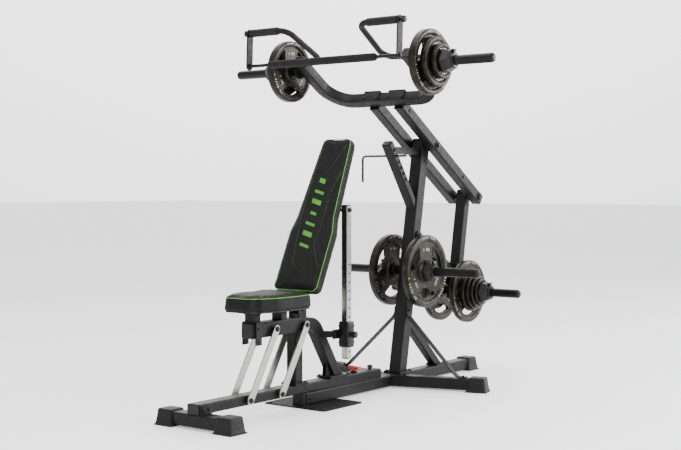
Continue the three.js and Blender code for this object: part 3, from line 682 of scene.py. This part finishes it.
def build_lever():
    trim = Shape()
    saddle, foot = (YOKE_S, 47), (YOKE_S - 33, 14)          # along the lever and above it
    for (s, up), width, side in ((saddle, 76, LEVER_DIR), (foot, 62, LEVER_UP)):
        trim.bar(lever_at(s, LEVER_X - 55, up), lever_at(s, LEVER_X + 55, up), width, 6, side, 2)
    for x in (LEVER_X - 44, LEVER_X + 44):
        trim.bolt(lever_at(YOKE_S - 36, x, 2), -LEVER_DIR, 8.5)
        trim.button(lever_at(YOKE_S, x, 50), LEVER_UP, 6)
    trim.end_plug(lever_at(LEVER_END, LEVER_X), LEVER_DIR, 58, 58, 6, 1.6)
    outer_face = LEVER_X + 30
    for s in (-340, 330):
        trim.bolt(lever_at(s, outer_face), X, 7)
    trim.turned([(0, 19), (0, 27), (1.5, 28.5), (3.2, 27), (3.2, 19)], REAR + X * outer_face, X, 36)
    trim.doubled()
    for x in (LEVER_X, -LEVER_X):
        trim.weld_frame(lever_at(YOKE_S + 30, x), X * 29, LEVER_UP * 29)
    trim.place("lever_trim", "lever", *TRIM)

    pin = Shape().bush(PIVOT, X, (113.6, 115.2, 117, 118.2), (12.5, 23.5, 25), 44)
    pin.turned([(118, 0), (118, 15), (126, 15), (128, 12.5), (128, 0)], PIVOT, X, 6)
    pin.doubled().rod(PIVOT, X, -124, 124, 12.5, steps=40)
    pin.place("main_pivot_look", "base", BOLT, replaces=["main_pivot_pin"], slot="zinc_steel")


def build_handles():
    path = [HANDLE_PIVOT + X * 358, HANDLE_PIVOT + X * 205, v(235, GRIP.y, GRIP.z), GRIP]
    tube = Shape().sweep(bent(path, 60, 12), circle(16, 28), v(0.2, 0.7, 0.7).normalized())
    tube.bush(HANDLE_PIVOT + X * 318, X, (0, 1.4, 8, 9.4), (16, 20, 21.5))
    ribs = [(292, 16), (292, 19), (294, 20.5)]
    for k in range(30):
        at = 298 + k * 6
        ribs += [(at, 20.5), (at + 2.6, 21.3)]
    ribs += [(480, 20.5), (482, 18.5), (482, 16)]
    tube.turned(ribs, v(0, GRIP.y, GRIP.z), X, 36, slot=1)
    place_pair("handle_look", tube, "handle_frame", POWDER, RUBBER, replaces=["handle"])

    bar = Shape().link(GRIP, v(GRIP.x, CROSS.y, CROSS.z), 46, 0.3, 8)
    bar.knob(GRIP + X * 8, X, 17, 30, slot=1)
    bar.weld(around(GRIP - X, 17, 25), 1.8)
    place_pair("link_bar_look", bar, "handle_frame", POWDER, PLASTIC, replaces=["link_bar"])


def build_crossbar():
    cross = Shape().bolt(CROSS + X * 496, X, 9, slot=2)
    cross.rod(CROSS + X * GRIP.x, X, -10, 0, 12, 9, steps=28, slot=1)
    cross.doubled()
    foam = [(-504, 0), (-504, 7), (-502, 9), (-352, 9), (-352, 15), (-350, 17), (-344, 17)]
    cross.turned(there_and_back(foam), CROSS, X, 36, slot=1)
    sleeve = [(-343, 17), (-343, 19.5), (-340, 20.5)]
    cross.turned(there_and_back(sleeve), CROSS, X, 40)
    cross.place("crossbar_look", "handle_frame", FOAM, SLEEVE, BOLT, replaces=["crossbar"], slot="grip_foam")


def build_strut():
    trim = Shape().bolt(REAR + X * 113.6, X, 12.5)
    trim.bush(LINK_REAR, X, (33, 34.5, 37, 38.4), (11, 20, 21.5))
    trim.bush(LOW, X, (33, 34.5, 37, 38.4), (25.4, 27, 28), 40)
    trim.button(v(38.4, 842, 637), X, 7)
    trim.doubled()
    trim.end_plug(REAR - LEAN_UP * 617, -LEAN_UP, 62, 54)
    trim.end_plug(REAR + LEAN_UP * 36, LEAN_UP, 62, 54)
    trim.place("strut_trim", "strut_body", *TRIM)

    middle = LINK_FRONT.lerp(LINK_REAR, 0.5)
    bars = Shape().link(LINK_FRONT, LINK_REAR, 44, 39, 47)
    for at in (LINK_FRONT, LINK_REAR, middle):
        bars.bolt(at + X * 47, X, 9)
    bars.doubled().rod(middle, X, -39, 39, 14, steps=28)
    for at in (LINK_FRONT, LINK_REAR):
        bars.rod(at, X, -47, 47, 10, slot=1)
    bars.place("lower_link_look", "lower_link_body", POWDER, BOLT, replaces=["lower_link"])


# ---------- base and upright ----------
def boot(end, ahead, across):
    """Rubber boot: a squared socket whose sides flare to a thin sole."""
    centre = end - ahead * 8
    heights = ((0, 60), (3.5, 60.5), (5.5, 57), (9, 54), (30, 50.5), (60, 46.5), (74, 45), (77, 43), (78, 40))
    rings = []
    for z, half in heights:
        section = round_rect(2 * half, 2 * half, min(10, half * 0.22), 5)
        rings.append([v(centre.x, centre.y, z) + ahead * a + across * b for a, b in section])
    return Shape().skin(rings)


def build_boots():
    ahead = v(math.cos(LEG_SWEEP), math.sin(LEG_SWEEP), 0)
    across = v(-ahead.y, ahead.x, 0)
    leg_end = v(0, 139 - 37.5 * math.tan(LEG_SWEEP), 39) + ahead * 520
    for stem, made in (("leg", boot(leg_end, ahead, across)), ("foot", boot(v(196, -1393, 39), X, Y))):
        place_pair(stem + "_boot", made, "base", RUBBER, replaces=[stem + "_cap"], slot="rubber_cap")
    boot(v(0, 962, 39), Y, -X).place("rear_boot", "base", RUBBER, replaces=["rear_cap"], slot="rubber_cap")


def build_base():
    # x, y, z and size of the right side's bolts
    sideways = ((43.5, 118, 43, 7.5), (43.5, 172, 43, 7.5), (44.6, 266, 418, 7.5), (37.5, 286, 410, 7),
                (25.5, 384, 984, 6.5), (37.5, 431, 1268, 6.5), (37.5, -620, 39, 7))
    upwards = ((44, 170, 80, 8.5), (44, 270, 80, 8.5), (84, 147 + 60 * math.tan(LEG_SWEEP), 70.5, 7.5),
               (408, 258, 77, 7.5), (25, 600, 70.5, 6), (32, 572, 76, 6.5), (32, 634, 76, 6.5))
    trim = Shape().bolts(sideways, X).bolts(upwards, Z)
    trim.block(37.5, 43.5, 96, 196, 18, 68, 2)
    trim.bush(PIVOT, X, (45, 46.5, 49, 50.6), (12.8, 24, 25.5), 40)
    trim.bush(HORN, X, (37.5, 39.5, 43, 44.6), (26.6, 36, 38), 40)
    trim.plate([BRANCH_FOOT, v(0, 392, 940), v(0, 401, 1020), v(0, 352, 1019)], X, 21, 25.5)
    for step in range(-1, 5):
        hole = STOP_HOLE + BRANCH_DIR * (40 * step)
        trim.turned([(30, 7.3), (30, 10.4), (31, 10.8), (31.8, 10), (31.8, 7.3)], hole, X, 28)
    for y in (-686, -411):
        trim.button(v(170, y, 6), Z, 9)
    trim.doubled()
    trim.weld_frame(upright_at(80) + Z, X * 38.5, Y * 39.5, 3)
    trim.weld([v(-25, 285, 404), v(25, 285, 404)], 2.6, closed=False)
    trim.block(-40, 40, 560, 646, 70.4, 76, 3)
    trim.end_plug(upright_at(1386) - LEAN_UP, LEAN_UP, 72, 72, 7, 2.4, depth=6)
    trim.end_plug(BRANCH_TOP, -BRANCH_DIR, 58, 40, chamfer=1.4)
    trim.end_plug(BRANCH_FOOT, BRANCH_DIR, 58, 40, chamfer=1.4)
    trim.place("base_trim", "base", *TRIM)


def build_stop_pin():
    tip, bend = STOP_HOLE + X * 96, STOP_HOLE - X * 204
    grip = v(bend.x, bend.y, 1152)
    stop = Shape().sweep(bent([tip, bend, grip], 20, 10), circle(7, 24), Y)
    stop.turned([(0, 0), (0, 5), (2.5, 7.6), (5, 7.6), (7, 5.4), (7, 0)], grip, -Z, 24)
    stop.turned([(-4, 0), (-4, 5.6), (-1, 7.4), (1, 7.4), (3, 5), (3, 0)], tip, X, 24)
    stop.place("stop_pin_look", "stop_pin_body", PIN_STEEL, replaces=["stop_pin"], slot="chrome_steel")


# ---------- bench ----------
def build_bench_base():
    trim = Shape().bolts(((43.8, -1412, 92, 7.5), (43.8, -1374, 92, 7.5)), X)
    trim.block(37.8, 43.8, -1432, -1354, 40, 116, 3)
    hub = [(38, 8.6), (38, 17), (39.5, 19), (45, 19), (50, 15), (51.5, 13), (51.5, 8.6)]
    for foot in (FRONT_LINK_FOOT, REAR_LINK_FOOT):
        trim.turned(hub, foot, X, 32)
    trim.doubled()
    trim.end_plug(v(0, -1433, 95), -Y, 72, 46)
    trim.end_plug(v(0, 0, 95), Y, 72, 46)
    trim.bush(BENCH_LOCK, Z, (0, 2, 8, 9.5), (8, 17, 19), 32, slot=1)
    trim.knob(v(0, -52, 120), Z, 15, 24, slot=2)
    trim.place("bench_base_trim", "base", *TRIM)


def build_bench_lock():
    handle = BENCH_LOCK + Z * 25
    pin = Shape().turned([(28, 0), (28, 9.6), (32, 9), (34.5, 5.5), (35, 0)], handle, X, 24)
    pin.doubled().bar(handle - X * 31, handle + X * 31, 17, 17, Y, 7.5, 3)
    pin.rod(BENCH_LOCK, Z, -50, 6, 7, steps=28, slot=1)
    neck = [(9.8, 0), (9.8, 12), (12, 13), (15, 12), (16, 9.5), (27, 9.5), (27, 0)]
    pin.turned(neck, BENCH_LOCK, Z, 32)
    pin.place("bench_lock_look", "bench_lock_body", RED, ZINC, slot="red_plastic",
              replaces=["bench_lock_pin"])


def build_bench_links():
    for name, low in (("front_links", FRONT_LINK_FOOT), ("rear_links", REAR_LINK_FOOT)):
        high = low + LINK_REACH
        pair = Shape().link(low, high, 40, 52.4, 59.6)
        for at in (low, high):
            pair.bolt(at + X * 59.6, X, 11)
        pair.doubled()
        for at in (low, high):
            pair.rod(at, X, -60, 60, 8, slot=1)
        pair.place(name + "_look", name + "_body", ZINC, BOLT, replaces=[name], slot="zinc_steel")


def build_bench_frame():
    # x, y, z and size of the right side's bolts
    upwards = ((39, -738, 131, 6.5), (39, -662, 131, 6.5), (39, -448, 131, 6.5), (39, -306, 131, 6.5))
    sideways = ((47, -1026, 432, 6.5), (47, -1026, 366, 6.5), (34, BACK_HINGE.y, BACK_HINGE.z, 9.5))
    trim = Shape().bolts(upwards, Z).bolts(sideways, X)
    hub = [(37.6, 8.6), (37.6, 16), (39.5, 18), (46, 18), (51, 14), (51, 8.6)]
    trim.turned(hub, REAR_LINK_FOOT + LINK_REACH, X, 32)
    trim.rod(FRONT_LINK_FOOT + LINK_REACH, X, 47.2, 51.2, 14, 8.6, steps=32)
    trim.plate([v(0, -458, 131), v(0, -408, 131), v(0, -452, 196)], X, 8, 14)
    for y in (-1021, -819):
        trim.block(32, 40, y - 22, y + 22, 500, 512, 2)
        trim.bolt(v(36, y, 500), -Z, 6)
    trim.doubled()
    trim.end_plug(v(0, -1060, 422.5), -Y, 70, 70, 6, 1.6)
    trim.weld_frame(v(0, -700, 131.5), X * 31, Y * 31)
    trim.weld_frame(v(0, -375, 132.5), X * 31, Y * 38)
    trim.weld_frame(v(87, -470, CLAMP.z), Y * 20, Z * 17, 2.2)
    trim.place("bench_trim", "bench", *TRIM)


def build_back_frame():
    spine = Shape().rod(BACK_HINGE, X, 20, 22.8, 15, 8.6, steps=28)
    for s in (150, 690):
        centre = BACK_HINGE + BACK_UP * s + BACK_OUT * 15.6
        for up in (-20, 20):
            spine.button(centre + X * 66 + BACK_UP * up, -BACK_OUT, 6.5)
    spine.doubled()
    spine.end_plug(BACK_HINGE + BACK_UP * 790, BACK_UP, 38, 38, chamfer=1.4)
    spine.bolt(POST_TOP + X * 26, X, 9)
    spine.block(18, 26, POST_TOP.y - 22, POST_TOP.y + 52, POST_TOP.z - 20, POST_TOP.z + 20, 3)
    spine.place("back_trim", "back", *TRIM)


def build_post():
    trim = Shape().end_plug(v(CLAMP.x, CLAMP.y, 1022), Z, 36, 36, chamfer=1.6, slot=0, depth=5)
    trim.end_plug(v(CLAMP.x, CLAMP.y, 232), -Z, 36, 36, chamfer=1.6, slot=0)
    trim.bolt(POST_TOP + X * 19.2, X, 9)
    trim.rod(POST_TOP, X, -22, -19.2, 14, 8.6, steps=28, slot=1)
    trim.place("post_trim", "post", PLASTIC, BOLT, slot="black_plastic")


def build_clamp():
    outer, inner = round_rect(62, 58, 7, 5), round_rect(46.5, 42.5, 3, 5)
    upper = [(36, 1), (38, 1.06), (48, 1.06), (50, 1), (63, 1), (66, 0.95)]
    heights = [(outer, -z, k) for z, k in reversed(upper)] + [(outer, z, k) for z, k in upper]
    sleeve = Shape().skin([[CLAMP + v(a * k, b * k, z) for a, b in section]
                           for section, z, k in [(inner, -66, 1), *heights, (inner, 66, 1)]], loop=True)
    for way in (Y, -Y):
        sleeve.bolt(CLAMP - Z * 8 + way * 31, way, 7.5)
    sleeve.bush(CLAMP, X, (33, 34.5, 37, 38.4), (7, 13, 14.5), 32)
    sleeve.place("clamp_look", "clamp", PLASTIC, BOLT, replaces=["clamp_sleeve"], slot="black_plastic")

    pin = Shape().rod(CLAMP, X, 20, 32, 4.4, steps=20, slot=1)
    pin.rod(CLAMP, X, 30, 42, 6, slot=1)
    pin.knob(CLAMP + X * 38.8, X, 18, 26)
    pin.place("clamp_pin_look", "clamp_pin_body", PLASTIC, ZINC, replaces=["clamp_pin"], slot="black_plastic")


# ---------- pads ----------
VOXEL = 0.0055           # metres
SIM_FRAMES = 20
STITCH = 6.5             # millimetres


def quarter(radius):
    """Points of a quarter circle as (distance from its start, rise)."""
    turns = [math.pi / 2 * i / 8 for i in range(9)]
    return [(radius * (1 - math.cos(a)), radius * math.sin(a)) for a in turns]


def pad_outline(length, width_at, corner, steps=60):
    """Closed outline as (along, across), its half width following width_at(0..1)."""
    side = [(a, width_at(0) - corner + b) for a, b in quarter(corner)]
    for i in range(1, steps):
        t = i / steps
        if corner + 4 < t * length < length - corner - 4:
            side.append((t * length, width_at(t)))
    side += [(length - a, width_at(1) - corner + b) for a, b in reversed(quarter(corner))]
    right = [(along - length / 2, across) for along, across in side]
    return right + [(along, -across) for along, across in reversed(right)]


def inset(outline, amount):
    moved = []
    for i, (a, b) in enumerate(outline):
        before = outline[i - 1]
        after = outline[(i + 1) % len(outline)]
        t = Vector((after[0] - before[0], after[1] - before[1])).normalized()
        moved.append((a + t.y * amount, b - t.x * amount))
    return moved


@dataclass
class Pad:
    """One upholstered pad: `middle` is the centre of its board, `out` points to its face."""

    name: str
    body: str
    node: str
    middle: Vector
    along: Vector
    out: Vector
    outline: list
    depth: float

    def point(self, a, b, height):
        return self.middle + self.along * a + X * b + self.out * height

    def ring(self, amount, height):
        return [self.point(a, b, height) for a, b in inset(self.outline, amount)]

    def build(self, cap):
        board = Shape().skin([self.ring(12, 0.4), self.ring(11, 1.4), self.ring(11, 8), self.ring(12, 9)])
        board.place(self.name + "_board", self.body, BOARD, slot="black_plastic")
        top = self.depth
        steps = ((13, 8), (6, 10), (4, 16), (4, top - 17), (5.5, top - 11), (9, top - 7), (15, top - 5))
        foam = Shape().skin([self.ring(amount, height) for amount, height in steps])
        self.cushion = foam.object(self.name + "_cover", VINYL)
        self.swell(cap)
        self.tree = BVHTree.FromPolygons([vert.co.copy() for vert in self.cushion.data.vertices],
                                         [list(face.vertices) for face in self.cushion.data.polygons])
        return self

    def swell(self, cap):
        """Remeshes the cover finely, inflates it by at most `cap` metres and smooths it."""
        cushion = self.cushion
        remesh = cushion.modifiers.new("remesh", "REMESH")
        remesh.mode = "VOXEL"
        remesh.voxel_size = VOXEL
        applied(cushion)
        start = [vert.co.copy() for vert in cushion.data.vertices]
        self.inflate(start)
        for vert, before in zip(cushion.data.vertices, start):
            moved = vert.co - before
            if moved.length > cap:
                vert.co = before + moved * (cap / moved.length)
        smooth = cushion.modifiers.new("smooth", "SMOOTH")
        smooth.iterations = 4
        smooth.factor = 0.5
        fine = cushion.modifiers.new("fine", "SUBSURF")
        fine.levels = fine.render_levels = 1
        applied(cushion)
        for face in cushion.data.polygons:
            face.use_smooth = True

    def inflate(self, start):
        """Swells the cover as cloth under pressure, held where it meets its board."""
        base = to_frame(self.middle)
        held = [i for i, at in enumerate(start) if (at - base).dot(self.out) < 0.0125]
        self.cushion.vertex_groups.new(name="board").add(held, 1.0, "REPLACE")
        cloth = self.cushion.modifiers.new("cloth", "CLOTH").settings
        cloth.use_pressure = True
        cloth.uniform_pressure_force = 4
        cloth.effector_weights.gravity = 0
        cloth.vertex_group_mass = "board"
        cloth.quality = 4
        scene = bpy.context.scene
        for frame_number in range(1, SIM_FRAMES + 1):
            scene.frame_set(frame_number)
        applied(self.cushion)
        scene.frame_set(1)

    def on_face(self, a, b, lift=0.0):
        """The cover's surface above a spot of the face, in millimetres."""
        hit = self.tree.ray_cast(to_frame(self.point(a, b, 200)), -self.out)[0]
        return hit / MM - SHIFT + self.out * lift

    def on_side(self, a, b, height, lift):
        """The cover's nearest point to a spot of its side wall."""
        near, normal = self.tree.find_nearest(to_frame(self.point(a, b, height)))[:2]
        return near / MM - SHIFT + normal * lift

    def groove(self, chain, depth=2.4, width=4.5):
        """Pulls the cover in along a sewn line."""
        line = []
        for p, q in zip(chain, chain[1:]):
            count = max(int((q - p).length / 2.5), 1)
            line += [p.lerp(q, i / count) for i in range(count)]
        spots = [to_frame(p) for p in line]
        near = BVHTree.FromPolygons(spots + [p + X * 1e-5 for p in spots],
                                    [(i, i + 1, i + 1 + len(spots)) for i in range(len(spots) - 1)])
        for vert in self.cushion.data.vertices:
            distance = near.find_nearest(vert.co, width * 2.5 * MM)[3]
            if distance is not None:
                vert.co -= self.out * (depth * MM * math.exp(-(distance / (width * MM)) ** 2))

    def finish(self):
        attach(self.cushion, self.body)
        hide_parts(self.node)


def piping(pad, height, name):
    """Piping cord sewn around a pad at one height."""
    chain = [pad.on_side(a, b, height, 0.6) for a, b in inset(pad.outline, 5)]
    cord = Shape().sweep(chain + chain[:2], circle(1.9, 10), pad.out, caps=False)
    cord.place(name, pad.body, PIPING, slot="vinyl_pad")


def stitches(pad, lines, name):
    """Thread dashes on the face, with the cover pulled in beneath them."""
    thread = Shape()
    low, high = -pad.out * 1.5, -pad.out * 0.8
    for line in lines:
        chain = [pad.on_face(a, b) for a, b in line]
        pad.groove(chain)
        for p, q in zip(chain, chain[1:]):
            count = max(int((q - p).length / STITCH), 1)
            for i in range(count):
                start, end = p.lerp(q, (i + 0.14) / count), p.lerp(q, (i + 0.8) / count)
                dash = [start + low, start.lerp(end, 0.5) + high, end + low]
                thread.sweep(dash, circle(0.75, 6), pad.out.cross(end - start).normalized())
    thread.place(name, pad.body, THREAD, slot="vinyl_pad")


def divided(points, count):
    """The same polyline with each leg cut into equal parts."""
    out = []
    for (a0, b0), (a1, b1) in zip(points, points[1:]):
        out += [(a0 + (a1 - a0) * i / count, b0 + (b1 - b0) * i / count) for i in range(count)]
    return out + [points[-1]]


def printed_bars(pad, name):
    """A generic column of slanted bars printed along the backrest, each a patch of 8 by 2 faces."""
    bars = Shape()
    sizes = ((62, 16), (62, 26), (62, 16), (40, 16), (62, 26), (62, 16), (40, 26))
    for k, (tall, thick) in enumerate(sizes):
        first = -195 + k * 60
        base = len(bars.points)
        for i in range(9):
            across = tall * (i / 8 - 0.5)
            start = first + across * 0.28
            bars.points += [pad.on_face(start + thick * j / 2, -8 - across, 0.5) for j in range(3)]
        corners = [base + i * 3 + j for i in range(8) for j in range(2)]
        bars.faces += [[a, a + 1, a + 4, a + 3] for a in corners]
        bars.slots += [0] * len(corners)
    bars.place(name, pad.body, PRINT, slot="vinyl_pad")


def build_seat():
    outline = pad_outline(420, lambda t: 160 - 60 * max(0, 0.35 - t) / 0.35, 46)
    seat = Pad("seat", "bench", "seat_pad", v(0, -940, 516), Y, Z, outline, 82).build(0.008)
    stitches(seat, [divided([(-170, 0), (-80, side * 62), (170, side * 100)], 6) for side in (1, -1)],
             "seat_stitching")
    seat.finish()
    piping(seat, 75, "seat_piping_top")


def back_half_width(t):
    """Half width of the backrest from its foot (0) to its top (1)."""
    narrowing = min(max((t - 0.38) / 0.1, 0), 1)
    return 150 - 20 * narrowing - 28 * max(0, t - 0.48) / 0.52


def build_backrest():
    low, high = 65, 940          # along the backrest, from its hinge
    outline = pad_outline(high - low, back_half_width, 40)
    middle = BACK_HINGE + BACK_OUT * 21.4 + BACK_UP * ((low + high) / 2)
    back = Pad("backrest", "back", "back_pad", middle, BACK_UP, BACK_OUT, outline, 58).build(0.007)
    stitches(back, [divided([(370, -76), (-39, -84), (-292, -50)], 8), divided([(386, 76), (243, 16)], 6),
                    divided([(233, 92), (126, 66), (-78, 63), (-175, 50), (-300, 118)], 6)], "back_stitching")
    printed_bars(back, "back_graphic")
    back.finish()
    piping(back, 50, "back_piping_face")


# ---------- finishes of the CAD nodes that stay ----------
def dress_frame():
    finishes = {"adjusting_post": CHROME, "foot_plate": TREAD}
    for name, node in frame["nodes"].items():
        for slot in node.material_slots:
            slot.material = finishes.get(name, POWDER)


# ---------- studio, in metres ----------
LIGHTS = (
    # name, place, aim, size, power
    ("key", (5.2, -0.6, 3.2), (0, 0, 0.9), (3.0, 3.5), 300),
    ("fill", (-2.6, -5.0, 3.0), (0, 0, 0.9), (2.5, 2.0), 50),
    ("side", (4.6, 6.0, 2.7), (0, 0.4, 1.3), (4.5, 3.0), 560),
    ("top", (0, -1.0, 5.2), (0, 0, 0), (4.0, 4.0), 200),
)
BRIGHT_SIDE = (-0.52, 0.68, 0.52)
FLOOR_HALF = 60000       # millimetres
LENS = 65.76
SENSOR = 36
CAMERA_AT = (3.9983, -5.3359, 1.1304)
CAMERA_TURN = (88.1475, 0, 37.3527)      # degrees


def area_light(name, at, aim, size, power):
    data = bpy.data.lights.new(name, "AREA")
    data.shape = "RECTANGLE"
    data.size, data.size_y = size
    data.energy = power
    light = bpy.data.objects.new(name, data)
    light.location = at
    light.rotation_euler = (Vector(aim) - Vector(at)).to_track_quat("-Z", "Y").to_euler()
    light.visible_camera = False
    bpy.context.scene.collection.objects.link(light)


def backdrop(towards, dim, bright):
    """White surroundings, brightest on the side that lies towards a fixed direction."""
    world = bpy.data.worlds.new("studio")
    world.use_nodes = True
    tree = world.node_tree
    coord = tree.nodes.new("ShaderNodeTexCoord")
    facing = tree.nodes.new("ShaderNodeVectorMath")
    facing.operation = "DOT_PRODUCT"
    facing.inputs[1].default_value = towards
    strength = tree.nodes.new("ShaderNodeMapRange")
    strength.interpolation_type = "SMOOTHSTEP"
    for k, value in enumerate((0.55, 1.0, dim, bright), start=1):
        strength.inputs[k].default_value = value
    tree.links.new(coord.outputs["Generated"], facing.inputs[0])
    tree.links.new(facing.outputs["Value"], strength.inputs["Value"])
    background = tree.nodes["Background"]
    background.inputs["Color"].default_value = (1, 1, 1, 1)
    tree.links.new(strength.outputs["Result"], background.inputs["Strength"])
    return world


def build_floor():
    finish = Finish("studio_floor", roughness=0.6)
    finish.colour(finish.noise(0.6, 2), (0.2, grey(0.9)), (0.8, grey(0.93)))
    finish.set(Emission_Color=(1, 1, 1, 1), Emission_Strength=0.4)
    ground = Shape()
    corners = ((-1, -1), (1, -1), (1, 1), (-1, 1))
    ground.points = [v(a * FLOOR_HALF, b * FLOOR_HALF, -0.5) for a, b in corners]
    ground.faces, ground.slots = [[0, 1, 2, 3]], [0]
    ground.object("floor", finish.material)


def build_camera():
    data = bpy.data.cameras.new("photo_view")
    data.lens = LENS
    data.sensor_width = SENSOR
    camera = bpy.data.objects.new("photo_view", data)
    camera.location = CAMERA_AT
    camera.rotation_euler = [math.radians(turn) for turn in CAMERA_TURN]
    bpy.context.scene.collection.objects.link(camera)
    bpy.context.scene.camera = camera


build_weights()
build_sleeves()
build_yoke()
build_lever()
build_handles()
build_crossbar()
build_strut()
build_boots()
build_base()
build_stop_pin()
build_bench_base()
build_bench_lock()
build_bench_links()
build_bench_frame()
build_back_frame()
build_post()
build_clamp()
build_seat()
build_backrest()
dress_frame()
build_floor()
bpy.context.scene.world = backdrop(BRIGHT_SIDE, 0.75, 3.6)
for light in LIGHTS:
    area_light(*light)
build_camera()
